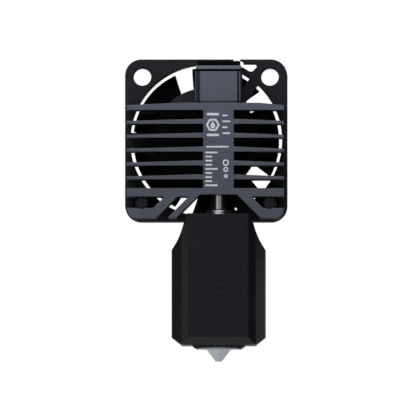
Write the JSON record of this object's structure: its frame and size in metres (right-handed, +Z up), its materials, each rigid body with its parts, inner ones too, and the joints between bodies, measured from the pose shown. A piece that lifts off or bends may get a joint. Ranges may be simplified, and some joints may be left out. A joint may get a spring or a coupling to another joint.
{
  "type": "3d printer hotend",
  "caption": "3-D printer hotend: finned heatsink with a slim neck, heat break, heater block and nozzle in a pull-off silicone sock, and a 30 mm axial fan screwed behind the fins.",
  "frame": {"origin": "centre of the filament inlet's top face, on the filament's path", "axes": "+Z up along the filament's path, away from the nozzle; +Y from the heatsink's front back towards the fan; +X to the right seen from the front"},
  "size_m": [0.03, 0.0252, 0.0561],
  "materials": {
    "anodised_aluminium": "dark grey satin anodising with a fine blasted grain",
    "inlet_plastic": "black moulded plastic",
    "polished_steel": "ground and polished",
    "copper_alloy": "machined copper alloy",
    "nozzle_steel": "turned hardened steel",
    "white_ceramic": "fired ceramic",
    "spring_steel": "rolled sheet",
    "black_silicone": "moulded black silicone, matt",
    "fan_plastic": "black moulded plastic, lightly textured",
    "magnet_compound": "bonded ferrite",
    "insulator_plastic": "ivory moulded plastic",
    "sintered_bronze": "oil-soaked sintered bronze",
    "lamination_steel": "stamped laminations",
    "enamelled_wire": "copper wire under clear enamel",
    "circuit_board": "green solder mask",
    "blackened_steel": "blackened steel"
  },
  "bodies": {
    "hotend": {"heatsink": "anodised_aluminium", "filament_inlet": "inlet_plastic", "heat_break": "polished_steel", "heater_block": "copper_alloy", "nozzle": "nozzle_steel", "ceramic_heater": "white_ceramic", "heater_clip": "spring_steel", "thermistor": "white_ceramic", "fan_frame": "fan_plastic", "thrust_pad": "insulator_plastic", "bearing_bush": "sintered_bronze", "stator_core": "lamination_steel", "stator_insulator_front": "insulator_plastic", "stator_insulator_rear": "insulator_plastic", "stator_coil_1": "enamelled_wire", "stator_coil_2": "enamelled_wire", "stator_coil_3": "enamelled_wire", "stator_coil_4": "enamelled_wire", "stator_board": "circuit_board", "hall_sensor": "inlet_plastic", "fan_screw_left": "blackened_steel", "fan_screw_right": "blackened_steel"},
    "fan_rotor": {"fan_impeller": "fan_plastic", "rotor_yoke": "spring_steel", "rotor_magnet": "magnet_compound", "rotor_shaft": "polished_steel", "shaft_clip": "insulator_plastic"},
    "sock": {"silicone_sock": "black_silicone"}
  },
  "joints": [
    {"name": "fan_spin", "type": "hinge", "parent": "hotend", "child": "fan_rotor", "pos_m": [-0.00238, 0.0113, -0.01449], "axis": [0, 1, 0], "continuous": true},
    {"name": "sock_pull", "type": "slide", "parent": "hotend", "child": "sock", "axis": [0, 0, -1], "range_m": [0, 0.027]}
  ]
}
